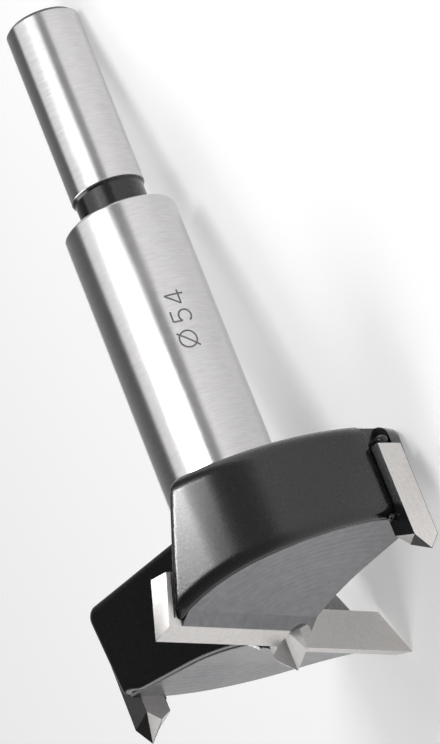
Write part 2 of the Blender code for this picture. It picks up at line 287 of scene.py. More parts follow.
def mapRange(tree, value, fromLow, fromHigh, toLow, toHigh):
    node = tree.nodes.new("ShaderNodeMapRange")
    tree.links.new(value, node.inputs["Value"])
    for label, number in (("From Min", fromLow), ("From Max", fromHigh),
                          ("To Min", toLow), ("To Max", toHigh)):
        node.inputs[label].default_value = number
    return node.outputs["Result"]


def bump(tree, height, strength, distance, shader):
    node = tree.nodes.new("ShaderNodeBump")
    node.inputs["Strength"].default_value = strength
    node.inputs["Distance"].default_value = distance
    tree.links.new(height, node.inputs["Height"])
    tree.links.new(node.outputs["Normal"], shader.inputs["Normal"])


# Bare metal: spacing and length shape the grinding lines, depth is how strongly they show
steels = dict(
    ground=dict(dark=(0.56, 0.55, 0.55), light=(0.71, 0.70, 0.70), rough=(0.19, 0.25),
                spacing=9.0, length=0.5, depth=0.25),
    turned=dict(dark=(0.16, 0.16, 0.17), light=(0.24, 0.24, 0.25), rough=(0.28, 0.33),
                spacing=0.8, length=0.8, depth=0.1),
    carbide=dict(dark=(0.66, 0.64, 0.625), light=(0.80, 0.775, 0.76), rough=(0.38, 0.46),
                 spacing=2.0, length=2.0, depth=0.15),
    # Painted shade: the shank's end face and chamfer get a dark steel because they face away from
    # the light
    paintedShadeEnd=dict(dark=(0.055, 0.055, 0.06), light=(0.10, 0.10, 0.105), rough=(0.32, 0.42),
               spacing=6.0, length=1.0, depth=0.2),
)


def steelMaterial(name, dark, light, rough, spacing, length, depth):
    material, tree, shader, place = newMaterial(name)
    ground = groupNode(tree, grindLines, Spacing=spacing, Length=length)
    tree.links.new(place, ground.inputs["Vector"])
    dust = groupNode(tree, speckle, Scale=5.0, Amount=0.5)
    tree.links.new(place, dust.inputs["Vector"])
    tone = mapRange(tree, ground.outputs["Height"], 0.3, 0.7, 0.1, 0.9)
    tone = mathNode(tree, "ADD", tone, dust.outputs["Mask"], clamp=True)
    tree.links.new(blendColor(tree, tone, dark, light), shader.inputs["Base Color"])
    rub = mapRange(tree, ground.outputs["Cloud"], 0.3, 0.7, *rough)
    tree.links.new(rub, shader.inputs["Roughness"])
    shader.inputs["Metallic"].default_value = 1.0
    bump(tree, ground.outputs["Height"], depth, 0.02 * mm, shader)
    return material


groundSteel = steelMaterial("ground_steel", **steels["ground"])
turnedSteel = steelMaterial("turned_steel", **steels["turned"])
carbide = steelMaterial("ground_carbide", **steels["carbide"])
# the shank's end is painted dark as painted shade, not a finish of its own
shankEnd = steelMaterial("painted_shade_end_steel", **steels["paintedShadeEnd"])

# Gloss black paint with a slight orange peel, and the grey of the etched size mark
paint = dict(dark=(0.004, 0.004, 0.0045), light=(0.008, 0.0075, 0.0075), rough=(0.24, 0.32),
             coat=1.0, coatRough=0.17, specular=0.15, peelScale=0.9, peelStrength=0.2)
etching = dict(dark=(0.12, 0.12, 0.12), light=(0.24, 0.235, 0.23), rough=(0.5, 0.65), metallic=0.6)

blackPaint, paintTree, paintShader, paintPlace = newMaterial("black_paint")
paintGrain = noise(paintTree, paintPlace, 1.6, 3.0, 0.6)
paintTree.links.new(blendColor(paintTree, paintGrain, paint["dark"], paint["light"]),
                    paintShader.inputs["Base Color"])
paintTree.links.new(mapRange(paintTree, paintGrain, 0.3, 0.7, *paint["rough"]),
                    paintShader.inputs["Roughness"])
paintShader.inputs["Coat Weight"].default_value = paint["coat"]
paintShader.inputs["Coat Roughness"].default_value = paint["coatRough"]
paintShader.inputs["Specular IOR Level"].default_value = paint["specular"]
peel = noise(paintTree, paintPlace, paint["peelScale"], 2.0, 0.4)
bump(paintTree, peel, paint["peelStrength"], 0.02 * mm, paintShader)

etchedMark, etchTree, etchShader, etchPlace = newMaterial("etched_mark")
etchGrain = noise(etchTree, etchPlace, 9.0, 2.0, 0.5)
etchTree.links.new(blendColor(etchTree, etchGrain, etching["dark"], etching["light"]),
                   etchShader.inputs["Base Color"])
etchTree.links.new(mapRange(etchTree, etchGrain, 0.3, 0.7, *etching["rough"]),
                   etchShader.inputs["Roughness"])
etchShader.inputs["Metallic"].default_value = etching["metallic"]

# The floor glows a little, but only where it is seen or mirrored, so its shadow stays
floorMaterial = bpy.data.materials.new("pale_floor")
floorMaterial.use_nodes = True
floorShader = floorMaterial.node_tree.nodes["Principled BSDF"]
floorShader.inputs["Base Color"].default_value = (studio["floorColor"],) * 3 + (1.0,)
floorShader.inputs["Roughness"].default_value = 0.9
floorShader.inputs["Specular IOR Level"].default_value = 0.0
floorShader.inputs["Emission Color"].default_value = (1.0, 1.0, 1.0, 1.0)
floorTree = floorMaterial.node_tree
floorPath = floorTree.nodes.new("ShaderNodeLightPath")
seen = floorPath.outputs["Is Camera Ray"]
for ray in ("Is Glossy Ray", "Is Transmission Ray"):
    seen = mathNode(floorTree, "MAXIMUM", seen, floorPath.outputs[ray])
floorTree.links.new(mathNode(floorTree, "MULTIPLY", seen, studio["floorGlow"]),
                    floorShader.inputs["Emission Strength"])
print("materials made")


def addPiece(name, mesh, material=None, smoothAngle=None):
    if material is not None:
        mesh.materials.clear()
        mesh.materials.append(material)
    if smoothAngle is not None:
        mesh.shade_smooth()
        mesh.set_sharp_from_angle(angle=math.radians(smoothAngle))
    piece = bpy.data.objects.new(name, mesh)
    bpy.context.scene.collection.objects.link(piece)
    return piece


def evaluatedMesh(item, name):
    graph = bpy.context.evaluated_depsgraph_get()
    mesh = bpy.data.meshes.new_from_object(item.evaluated_get(graph), depsgraph=graph)
    mesh.name = name
    return mesh


def geometryTree(name, sockets):
    tree = bpy.data.node_groups.new(name, "GeometryNodeTree")
    tree.interface.new_socket("Geometry", in_out="INPUT", socket_type="NodeSocketGeometry")
    socketList(tree, "INPUT", sockets)
    tree.interface.new_socket("Geometry", in_out="OUTPUT", socket_type="NodeSocketGeometry")
    return tree, tree.nodes.new("NodeGroupInput"), tree.nodes.new("NodeGroupOutput")


def endTree(tree, geometry, groupIn, groupOut):
    realize = tree.nodes.new("GeometryNodeRealizeInstances")
    paint = tree.nodes.new("GeometryNodeSetMaterial")
    tree.links.new(geometry, realize.inputs[0])
    tree.links.new(realize.outputs[0], paint.inputs["Geometry"])
    tree.links.new(groupIn.outputs["Material"], paint.inputs["Material"])
    tree.links.new(paint.outputs[0], groupOut.inputs[0])


def runTree(name, tree, mesh, **values):
    source = bpy.data.objects.new(name + "_source", mesh)
    bpy.context.scene.collection.objects.link(source)
    modifier = source.modifiers.new(tree.name, "NODES")
    modifier.node_group = tree
    for item in tree.interface.items_tree:
        if item.item_type == "SOCKET" and item.in_out == "INPUT" and item.name in values:
            modifier[item.identifier] = values[item.name]
    made = evaluatedMesh(source, name)
    bpy.data.objects.remove(source, do_unlink=True)
    return made


def finishPiece(piece):
    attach(piece, "root")
    return piece


# The bar: shank, neck and body, turned about the tool's axis. Heights run from the shank's end.
bar = dict(
    shankRadius=5.0, shankLength=25.7, shankChamfer=0.5,
    neckRadius=4.65, neckEnd=30.0, neckRelief=0.3,
    bodyRadius=7.6, bodyEnd=73.9, bodyChamfer=0.35,
    edge=0.08,           # how much the shank's far edge and the neck's first edge are broken
    core=0.5,            # radius at which a flat end closes
    segments=160,
)

lathe, latheIn, latheOut = geometryTree("turn_profile", [
    ("Segments", "count", 64), ("Material", "material", None)])
toCurve = lathe.nodes.new("GeometryNodeMeshToCurve")
width = lathe.nodes.new("GeometryNodeInputNamedAttribute")
width.data_type = "FLOAT"
width.inputs["Name"].default_value = "turnRadius"
ring = lathe.nodes.new("GeometryNodeCurvePrimitiveCircle")
ring.inputs["Radius"].default_value = 1.0
skin = lathe.nodes.new("GeometryNodeCurveToMesh")
skin.inputs["Fill Caps"].default_value = True
lathe.links.new(latheIn.outputs["Geometry"], toCurve.inputs[0])
lathe.links.new(width.outputs["Attribute"], skin.inputs["Scale"])
lathe.links.new(latheIn.outputs["Segments"], ring.inputs["Resolution"])
lathe.links.new(toCurve.outputs[0], skin.inputs["Curve"])
lathe.links.new(ring.outputs[0], skin.inputs["Profile Curve"])
endTree(lathe, skin.outputs[0], latheIn, latheOut)


def chain(count, first=0):
    return [(first + k, first + k + 1) for k in range(count - 1)]


def turned(name, profile, material, segments, smoothAngle=20):
    mesh = bpy.data.meshes.new(name)
    mesh.from_pydata([toolToWorld @ Vector((0, 0, height * mm)) for height, radius in profile],
                     chain(len(profile)), [])
    sizes = mesh.attributes.new("turnRadius", "FLOAT", "POINT")
    sizes.data.foreach_set("value", [radius * mm for height, radius in profile])
    made = runTree(name, lathe, mesh, Segments=segments, Material=material)
    shape = bmesh.new()
    shape.from_mesh(made)
    bmesh.ops.remove_doubles(shape, verts=shape.verts, dist=0.002 * mm)
    bmesh.ops.recalc_face_normals(shape, faces=shape.faces)
    shape.to_mesh(made)
    shape.free()
    return addPiece(name, made, material, smoothAngle)


shankProfile = [
    (0.0, 0.3), (0.0001, bar["shankRadius"] - bar["shankChamfer"]),
    (bar["shankChamfer"], bar["shankRadius"]),
]
barProfile = [
    (bar["shankChamfer"], bar["core"]), (bar["shankChamfer"] + 0.0001, bar["shankRadius"] - 0.02),
    (bar["shankChamfer"] + 0.04, bar["shankRadius"]),
    (bar["shankLength"] - bar["edge"], bar["shankRadius"]),
    (bar["shankLength"], bar["shankRadius"] - bar["edge"]),
    (bar["shankLength"] + 0.0001, bar["core"]),
]
neckProfile = [
    (bar["shankLength"] - 0.02, bar["core"]),
    (bar["shankLength"] - 0.0199, bar["shankRadius"] - 0.06),
    (bar["shankLength"] + 0.10, bar["shankRadius"] - bar["edge"]),
    (bar["shankLength"] + bar["neckRelief"] + 0.1, bar["neckRadius"]),
    (bar["neckEnd"] - 0.45, bar["neckRadius"]),
    (bar["neckEnd"] - 0.2, bar["neckRadius"] + 0.12),
    (bar["neckEnd"], bar["neckRadius"] + 0.45),
    (bar["neckEnd"] + 0.1, bar["neckRadius"] + 0.46), (bar["neckEnd"] + 0.1001, bar["core"]),
]
bodyProfile = [
    (bar["neckEnd"], bar["core"]),
    (bar["neckEnd"] + 0.0001, bar["bodyRadius"] - bar["bodyChamfer"] - 0.05),
    (bar["neckEnd"] + 0.03, bar["bodyRadius"] - bar["bodyChamfer"]),
    (bar["neckEnd"] + bar["bodyChamfer"] - 0.04, bar["bodyRadius"] - 0.05),
    (bar["neckEnd"] + bar["bodyChamfer"] + 0.05, bar["bodyRadius"]),
    (bar["bodyEnd"], bar["bodyRadius"]), (bar["bodyEnd"] + 0.0001, bar["core"]),
]
turnedPieces = [
    turned("shank_end", shankProfile, shankEnd, bar["segments"]),
    turned("shank", barProfile, groundSteel, bar["segments"]),
    turned("neck", neckProfile, blackPaint, bar["segments"]),
    turned("round_body", bodyProfile, groundSteel, bar["segments"]),
]
print("bar turned")


# The head: a shape with rounded edges, written as a distance field in millimetres. Heights run
# along the axis from the shank's end, and angles are in degrees.
head = dict(
    bodyRadius=7.6, back=73.4, ridge=90.6, radius=25.7, cutHeight=91.4, bodyFillet=0.45,
    rimRound=1.8, edgeRound=0.9, underRound=1.4, trailRound=0.5, rootRound=1.6,
    rake=19.5, setback=1.8, lean=16.0, sweep=11.7, sweepEnd=6.1, sweepEndHeight=88.0,
    thinning=(0.50, -0.58, 0.64), thinningOffset=56.27, notchRound=0.15,
    plateThickness=2.1, plateHeight=7.1, plateInner=2.2, chipSlot=0.5,
    heelStart=2.5, heelBand=1.6, heelAngle=42.0, reliefStart=18.0, reliefEnd=5.6, reliefRadius=46.0,
    spurAngle=83.3, spurWidth=4.3, spurThickness=2.9, spurGroove=0.25,
    cuttingRadius=27.0, pointHalfDiagonal=2.2, pointBottom=85.0, pointTurn=-38.5,
    collarGap=0.1, collarDepth=0.5,      # the collar reaches this far past the bar
    underScale=0.97, wallBlend=(-4.0, -1.2),
    gap=0.05, step=0.27, quickStep=1.6,
    netReach=26.3, netBelow=1.2, netTop=91.3,
)
rakeSlope = math.tan(math.radians(head["rake"]))
rakeCos = math.cos(math.radians(head["rake"]))


def reliefHeight(distance):
    heel = head["heelStart"]
    bandEnd = heel + head["heelBand"]
    bandHeight = head["ridge"] - head["heelBand"] * math.tan(math.radians(head["heelAngle"]))
    start, end = math.radians(head["reliefStart"]), math.radians(head["reliefEnd"])
    arcEnd = bandEnd + head["reliefRadius"] * (math.sin(start) - math.sin(end))
    arcHeight = bandHeight - head["reliefRadius"] * (math.cos(end) - math.cos(start))
    sine = math.sin(start) - (distance - bandEnd) / head["reliefRadius"]
    sine = np.clip(sine, math.sin(end), math.sin(start))
    arc = bandHeight - head["reliefRadius"] * (np.sqrt(1 - sine * sine) - math.cos(start))
    band = head["ridge"] - (distance - heel) * math.tan(math.radians(head["heelAngle"]))
    tail = arcHeight - (distance - arcEnd) * math.tan(end)
    return np.where(distance < heel, head["ridge"],
                    np.where(distance < bandEnd, band, np.where(distance < arcEnd, arc, tail)))


def meet(first, second, radius):     # what both hold, with a round edge
    a, b = np.maximum(first + radius, 0), np.maximum(second + radius, 0)
    return np.minimum(-radius, np.maximum(first, second)) + np.hypot(a, b)


def join(first, second, radius):     # what either holds, with a fillet
    a, b = np.maximum(radius - first, 0), np.maximum(radius - second, 0)
    return np.maximum(radius, np.minimum(first, second)) - np.hypot(a, b)


def smoothStep(value, low, high):
    share = np.clip((value - low) / (high - low), 0, 1)
    return share * share * (3 - 2 * share)


def sweepAt(height):
    share = np.clip((height - head["back"]) / (head["sweepEndHeight"] - head["back"]), 0, 1.1)
    return np.radians(head["sweep"] + (head["sweepEnd"] - head["sweep"]) * share)


def headField(points):
    x, y, z = points[..., 0], points[..., 1], points[..., 2]
    r = np.hypot(x, y)
    wall = r - head["radius"]
    solid = meet(wall, head["back"] - z, head["rimRound"])
    collar = np.maximum(r - head["bodyRadius"] - head["collarGap"],
                        head["back"] - head["collarDepth"] - z)
    solid = join(solid, collar, head["bodyFillet"])
    for turn in (1, -1):
        face = (turn * y + (head["cutHeight"] - z) * rakeSlope) * rakeCos
        lead = face + head["setback"]
        sweep, lean = sweepAt(z), math.radians(head["lean"])
        trail = (turn * (x * np.cos(sweep) + y * np.sin(sweep)) - head["bodyRadius"]
                 + (z - head["back"]) * math.tan(lean)) * math.cos(lean)
        solid = meet(solid, join(lead, trail, head["rootRound"]), head["edgeRound"])
        thin = head["thinning"]
        notch = turn * (x * thin[0] + y * thin[1]) + z * thin[2] - head["thinningOffset"]
        solid = meet(solid, np.minimum(face, notch), head["notchRound"])
    under = (z - reliefHeight(np.abs(y))) * head["underScale"]
    nearWall = smoothStep(wall, *head["wallBlend"])
    edge = head["trailRound"] + (head["underRound"] - head["trailRound"]) * nearWall
    return meet(solid, under, edge)


def surfaceNet(field, low, high, step):
    counts = [int(math.ceil((h - l) / step)) + 1 for l, h in zip(low, high)]
    axes = [l + step * np.arange(n) for l, n in zip(low, counts)]
    grid = np.stack(np.meshgrid(*axes, indexing="ij"), axis=-1)
    inside = field(grid) < 0
    held = sum(inside[i:counts[0] - 1 + i, j:counts[1] - 1 + j, k:counts[2] - 1 + k].astype(int)
               for i in (0, 1) for j in (0, 1) for k in (0, 1))
    active = (held > 0) & (held < 8)
    index = np.full(active.shape, -1)
    index[active] = np.arange(active.sum())
    points = np.array(low) + (np.argwhere(active) + 0.5) * step
    quads = []
    for axis in range(3):
        first, second = [a for a in range(3) if a != axis]
        if axis == 1:
            first, second = second, first
        lowSide = np.take(inside, range(counts[axis] - 1), axis)
        highSide = np.take(inside, range(1, counts[axis]), axis)
        for goesOut in (True, False):
            spots = np.argwhere(lowSide & ~highSide if goesOut else ~lowSide & highSide)
            spots = spots[(spots[:, first] > 0) & (spots[:, second] > 0)
                          & (spots[:, first] < counts[first] - 1)
                          & (spots[:, second] < counts[second] - 1)]
            corners = []
            for a, b in ((1, 1), (0, 1), (0, 0), (1, 0)):
                cell = spots.copy()
                cell[:, first] -= a
                cell[:, second] -= b
                corners.append(index[cell[:, 0], cell[:, 1], cell[:, 2]])
            order = corners if goesOut else corners[::-1]
            quads.append(np.stack(order, axis=1))
    return points, np.concatenate(quads)


def onSurface(field, points, rounds, reach):
    nudge = 0.002
    for _ in range(rounds):
        value = field(points)
        slope = np.stack([(field(points + offset) - field(points - offset)) / (2 * nudge)
                          for offset in np.eye(3) * nudge], axis=-1)
        move = slope * (value / np.maximum((slope ** 2).sum(-1), 1e-6))[:, None]
        size = np.linalg.norm(move, axis=1, keepdims=True)
        points = points - move * np.minimum(1, reach / np.maximum(size, 1e-9))
    return points


def relaxed(points, quads):
    total = np.zeros_like(points)
    count = np.zeros(len(points))
    for a in range(4):
        b = (a + 1) % 4
        for start, end in ((quads[:, a], quads[:, b]), (quads[:, b], quads[:, a])):
            for axis in range(3):
                total[:, axis] += np.bincount(start, points[end, axis], len(points))
            count += np.bincount(start, minlength=len(points))
    return 0.5 * points + 0.5 * total / count[:, None]


step = head["step"] * 1.0
boxLow = (-head["netReach"], -head["netReach"], head["back"] - head["netBelow"])
boxHigh = (head["netReach"], head["netReach"], head["netTop"])
netPoints, netQuads = surfaceNet(headField, boxLow, boxHigh, step)
netPoints = onSurface(headField, netPoints, 3, step)
for _ in range(3):
    netPoints = onSurface(headField, relaxed(netPoints, netQuads), 2, step)
headMesh = bpy.data.meshes.new("head")
headMesh.from_pydata((netPoints * mm).tolist(), [], netQuads.tolist())
headMesh.transform(toolToWorld)
headPiece = addPiece("head", headMesh, blackPaint)
print("head net:", len(netPoints), "points")


# Cutters for the seats of the carbide pieces. They reach past the head on its open sides.
outside = 40.0
beyondTip = 96.0
slotBottom = 73.0


def prism(loops):
    shape = bmesh.new()
    rings = [[shape.verts.new(toolToWorld @ (Vector(p) * mm)) for p in loop] for loop in loops]
    count = len(rings[0])
    for i in range(count):
        j = (i + 1) % count
        shape.faces.new((rings[0][i], rings[0][j], rings[1][j], rings[1][i]))
    shape.faces.new(rings[0])
    shape.faces.new(rings[1])
    bmesh.ops.recalc_face_normals(shape, faces=shape.faces)
    mesh = bpy.data.meshes.new("cutter")
    shape.to_mesh(mesh)
    shape.free()
    return addPiece("cutter", mesh)


def turnedLoops(loops, turn):
    return [[turn @ Vector(p) for p in loop] for loop in loops]


def pocketLoops():
    slant = 1 / rakeCos
    bottom = head["cutHeight"] - head["plateHeight"] - head["gap"]
    section = []
    front, rear = -head["chipSlot"], head["plateThickness"] + head["gap"]
    for height, depth in ((beyondTip, front), (beyondTip, rear), (bottom, rear), (bottom, front)):
        section.append((-((head["cutHeight"] - height) * rakeSlope + depth * slant), height))
    return [[(x, y, z) for y, z in section] for x in (head["plateInner"] - head["gap"], outside)]


def slotLoops():
    outer = math.sqrt(head["cuttingRadius"] ** 2 - (head["spurWidth"] / 2) ** 2)
    inner = outer - head["spurThickness"] - head["gap"]
    lead = head["spurWidth"] / 2 + head["spurGroove"]
    trail = -head["spurWidth"] / 2 - head["gap"]
    turn = Matrix.Rotation(-math.radians(head["spurAngle"]), 4, "Z")
    loops = [[(inner, trail, z), (outside, trail, z), (outside, lead, z), (inner, lead, z)]
             for z in (slotBottom, beyondTip)]
    return turnedLoops(loops, turn)


def socketLoops():
    half = head["pointHalfDiagonal"] + head["gap"] * math.sqrt(2)
    corners = [math.radians(head["pointTurn"] + 90 * k) for k in range(4)]
    return [[(half * math.cos(corner), half * math.sin(corner), z) for corner in corners]
            for z in (head["pointBottom"] - head["gap"], beyondTip)]


def cutWith(piece, cutters, name):
    for cutter in cutters:
        modifier = piece.modifiers.new("cut", "BOOLEAN")
        modifier.operation = "DIFFERENCE"
        modifier.solver = "EXACT"
        modifier.object = cutter
    mesh = evaluatedMesh(piece, name)
    bpy.data.objects.remove(piece, do_unlink=True)
    for cutter in cutters:
        bpy.data.objects.remove(cutter, do_unlink=True)
    return mesh


headCutters = [prism(turnedLoops(loops, turn)) for turn in lobes.values()
               for loops in (pocketLoops(), slotLoops())]
headCutters.append(prism(socketLoops()))
headPiece = addPiece("head", cutWith(headPiece, headCutters, "head"), blackPaint, 38)
print("head seats cut:", len(headPiece.data.polygons), "faces")


# The bare undersides of the lobes, turned in fine rings
underside = dict(innerRadius=3.4, ringStep=0.13, turnSteps=150, lift=0.06, depth=0.012, pitch=1.25,
                 heelGap=0.14, wallInset=1.35, trailInset=0.3, thickness=0.4,
                 sweepHeight=87.5, ringsFrom=1.3, ringsFull=2.6, innerFade=1.0)

rings, ringsIn, ringsOut = geometryTree("turning_rings", [
    ("Pitch", "number", 0.5), ("Depth", "number", 0.01), ("Axis", "vector", None),
    ("Origin", "vector", None), ("Seed", "count", 3), ("Material", "material", None)])
position = rings.nodes.new("GeometryNodeInputPosition").outputs[0]
fromOrigin = vectorNode(rings, "SUBTRACT", position, ringsIn.outputs["Origin"])
alongAxis = vectorNode(rings, "DOT_PRODUCT", fromOrigin, ringsIn.outputs["Axis"])
axial = vectorNode(rings, "SCALE", ringsIn.outputs["Axis"], scale=alongAxis)
ringRadius = vectorNode(rings, "LENGTH", vectorNode(rings, "SUBTRACT", fromOrigin, axial))
turns = mathNode(rings, "DIVIDE", ringRadius, ringsIn.outputs["Pitch"])
wander = rings.nodes.new("ShaderNodeTexNoise")
wander.noise_dimensions = "1D"
wander.inputs["Scale"].default_value = 0.8
wander.inputs["Detail"].default_value = 2.0
rings.links.new(mathNode(rings, "ADD", turns, ringsIn.outputs["Seed"]), wander.inputs["W"])
wave = mathNode(rings, "SINE", mathNode(rings, "MULTIPLY", turns, 2 * math.pi))
mixed = mathNode(rings, "MULTIPLY", wave, mathNode(rings, "ADD", wander.outputs["Fac"], 0.2))
rise = mathNode(rings, "MULTIPLY", mixed, ringsIn.outputs["Depth"])
mask = rings.nodes.new("GeometryNodeInputNamedAttribute")
mask.data_type = "FLOAT"
mask.inputs["Name"].default_value = "ringMask"
rise = mathNode(rings, "MULTIPLY", rise, mask.outputs["Attribute"])
shift = rings.nodes.new("GeometryNodeSetPosition")
rings.links.new(ringsIn.outputs["Geometry"], shift.inputs["Geometry"])
lifted = vectorNode(rings, "SCALE", ringsIn.outputs["Axis"], scale=rise)
rings.links.new(lifted, shift.inputs["Offset"])
endTree(rings, shift.outputs[0], ringsIn, ringsOut)


def undersideSheet(name, turn):
    heel = head["heelStart"] + underside["heelGap"]
    rMax = head["radius"] - underside["wallInset"]
    radii = np.arange(underside["innerRadius"], rMax + 1e-6, underside["ringStep"])
    radii[-1] = rMax
    steps = underside["turnSteps"]
    lean = math.radians(head["lean"])
    sweep = sweepAt(underside["sweepHeight"])
    start = -np.arcsin(heel / radii)
    limit = np.full(len(radii), 7.0)
    for _ in range(6):
        share = np.clip((limit - underside["trailInset"] / math.cos(lean)) / radii, -1, 1)
        end = np.maximum(sweep + np.arccos(share) - math.pi, -math.pi + np.arcsin(heel / radii))
        height = reliefHeight(np.abs(radii * np.sin(end)))
        limit = head["bodyRadius"] - (height - head["back"]) * math.tan(lean)
    share = np.linspace(0, 1, steps + 1)
    angle = start[:, None] + (end - start)[:, None] * share[None, :]
    x, y = radii[:, None] * np.cos(angle), radii[:, None] * np.sin(angle)
    z = reliefHeight(np.abs(y)) + underside["lift"]
    points = np.stack([x, y, z], axis=-1).reshape(-1, 3)
    low = points - np.array([0, 0, underside["thickness"]])
    rows, columns = len(radii), steps + 1
    cell = np.arange(rows * columns).reshape(rows, columns)
    quads = np.stack([cell[:-1, :-1], cell[:-1, 1:], cell[1:, 1:], cell[1:, :-1]], axis=-1)
    quads = quads.reshape(-1, 4)
    border = np.concatenate([cell[0, :], cell[1:, -1], cell[-1, -2::-1], cell[-2:0:-1, 0]])
    after = np.roll(border, -1)
    offset = rows * columns
    rim = np.stack([border, border + offset, after + offset, after], axis=-1)
    faces = quads[:, ::-1].tolist() + (quads + offset).tolist() + rim[:, ::-1].tolist()
    mesh = bpy.data.meshes.new(name)
    mesh.from_pydata((np.concatenate([points, low]) * mm).tolist(), [], faces)
    edge = smoothStep(radii, radii[0], radii[0] + underside["innerFade"])[:, None]
    # no rings on the heel
    ringed = smoothStep(np.abs(y), heel + underside["ringsFrom"], heel + underside["ringsFull"])
    ringed = ringed * edge
    sizes = mesh.attributes.new("ringMask", "FLOAT", "POINT")
    sizes.data.foreach_set("value", np.concatenate([ringed.ravel(), np.zeros(offset)]))
    mesh.transform(toolToWorld @ turn)
    made = runTree(name, rings, mesh, Pitch=underside["pitch"] * mm, Depth=underside["depth"] * mm,
                   Axis=tuple(toolAxis), Origin=tuple(toolOrigin), Seed=3, Material=turnedSteel)
    return addPiece(name, made, turnedSteel, 24)


undersides = [undersideSheet("lobe_face_" + letter, turn) for letter, turn in lobes.items()]
print("undersides turned")


# Carbide pieces: the CAD's own shapes with their edges just broken
brokenEdge = dict(plate=0.05, spur=0.06, point=0.05, segments=2, sharpAngle=12.0, smoothAngle=20.0)


def brokenEdges(node, name, width):
    mesh = frame["nodes"][node].data.copy()
    shape = bmesh.new()
    shape.from_mesh(mesh)
    bmesh.ops.remove_doubles(shape, verts=shape.verts, dist=0.001 * mm)
    bmesh.ops.dissolve_limit(shape, angle_limit=math.radians(1.0),
                             verts=shape.verts, edges=shape.edges)
    bmesh.ops.recalc_face_normals(shape, faces=shape.faces)
    shape.to_mesh(mesh)
    shape.free()
    piece = addPiece(name, mesh)
    modifier = piece.modifiers.new("broken edges", "BEVEL")
    modifier.width = width * mm
    modifier.segments = brokenEdge["segments"]
    modifier.limit_method = "ANGLE"
    modifier.angle_limit = math.radians(brokenEdge["sharpAngle"])
    made = evaluatedMesh(piece, name)
    bpy.data.objects.remove(piece, do_unlink=True)
    return addPiece(name, made, carbide, brokenEdge["smoothAngle"])


carbidePieces = {}
for letter in lobes:
    plate, spur = "cutting_plate_" + letter, "spur_" + letter
    carbidePieces[plate] = brokenEdges(plate, "plate_" + letter, brokenEdge["plate"])
    carbidePieces[spur] = brokenEdges(spur, "outer_spur_" + letter, brokenEdge["spur"])
carbidePieces["center_point"] = brokenEdges("center_point", "centre_point", brokenEdge["point"])
print("carbide pieces made")


# Black films on both sides of the spurs, paint that ran on their leading sides and painted shade on
# their trailing sides, and drops of paint in the corners of their slots
spurPaintAndShade = dict(thickness=0.03, sideways=0.5, sag=0.10, sagAlong=2.1, sagAcross=1.3)
paintDrops = [
    dict(radial=24.6, side=-1.5, height=75.6, size=(1.05, 0.8, 0.8)),
    dict(radial=24.85, side=2.55, height=86.25, size=(0.55, 0.5, 0.5)),
]


def spurFrame(letter):
    return lobes[letter] @ Matrix.Rotation(-math.radians(head["spurAngle"]), 4, "Z")


def paintDrop(name, frameTurn, radial, side, height, size):
    shape = bmesh.new()
    bmesh.ops.create_icosphere(shape, subdivisions=4, radius=1.0)
    for vertex in shape.verts:
        x, y, z = vertex.co
        sway = math.sin(spurPaintAndShade["sagAlong"] * z + spurPaintAndShade["sagAcross"] * y)
        sag = 1 + spurPaintAndShade["sag"] * sway * (1 - x)
        vertex.co = Vector((x * size[0], y * size[1] * sag, z * size[2]))
    mesh = bpy.data.meshes.new(name)
    shape.to_mesh(mesh)
    shape.free()
    place = Matrix.Translation((radial * mm, side * mm, height * mm)) @ Matrix.Scale(mm, 4)
    mesh.transform(toolToWorld @ frameTurn @ place)
    return addPiece(name, mesh, blackPaint, 60)


# Covers both flat sides of a spur: the leading side with black paint, the trailing side with a
# painted shade
def spurPaintAndShadeFilm(letter):
    mesh = frame["nodes"]["spur_" + letter].data.copy()
    sideways = (toolToWorld @ spurFrame(letter)).to_3x3() @ Vector((0, 1, 0))
    shape = bmesh.new()
    shape.from_mesh(mesh)
    bmesh.ops.remove_doubles(shape, verts=shape.verts, dist=0.001 * mm)
    bare = [face for face in shape.faces if abs(face.normal.dot(sideways)) < spurPaintAndShade["sideways"]]
    bmesh.ops.delete(shape, geom=bare, context="FACES")
    shape.to_mesh(mesh)
    shape.free()
    film = addPiece("film", mesh)
    modifier = film.modifiers.new("film", "SOLIDIFY")
    modifier.thickness = spurPaintAndShade["thickness"] * mm
    modifier.offset = 1.0
    made = evaluatedMesh(film, "spur_paint_and_shade_film_" + letter)
    bpy.data.objects.remove(film, do_unlink=True)
    return addPiece("spur_paint_and_shade_film_" + letter, made, blackPaint)


paintPieces = []
for letter in lobes:
    paintPieces.append(spurPaintAndShadeFilm(letter))
    for number, drop in enumerate(paintDrops, 1):
        dropName = "paint_drop_%s_%d" % (letter, number)
        paintPieces.append(paintDrop(dropName, spurFrame(letter), **drop))

# Beads of paint along the seams behind the plates' outer ends
seam = dict(beadRadius=0.10, step=0.25, radial=25.55, top=89.6, lift=0.02,
            footStart=0.3, footEnd=1.5, sides=10, noiseScale=900.0, thinnest=0.5)

bead, beadIn, beadOut = geometryTree("seam_bead", [
    ("Radius", "number", 0.0001), ("Step", "number", 0.0002), ("Seed", "count", 1),
    ("Material", "material", None)])
beadCurve = bead.nodes.new("GeometryNodeMeshToCurve")
beadSteps = bead.nodes.new("GeometryNodeResampleCurve")
beadSteps.mode = "LENGTH"
beadRing = bead.nodes.new("GeometryNodeCurvePrimitiveCircle")
beadRing.inputs["Resolution"].default_value = seam["sides"]
beadRing.inputs["Radius"].default_value = 1.0
beadSkin = bead.nodes.new("GeometryNodeCurveToMesh")
beadSkin.inputs["Fill Caps"].default_value = True
beadNoise = bead.nodes.new("ShaderNodeTexNoise")
beadNoise.noise_dimensions = "4D"
beadNoise.inputs["Scale"].default_value = seam["noiseScale"]
bead.links.new(beadIn.outputs["Geometry"], beadCurve.inputs[0])
bead.links.new(beadCurve.outputs[0], beadSteps.inputs["Curve"])
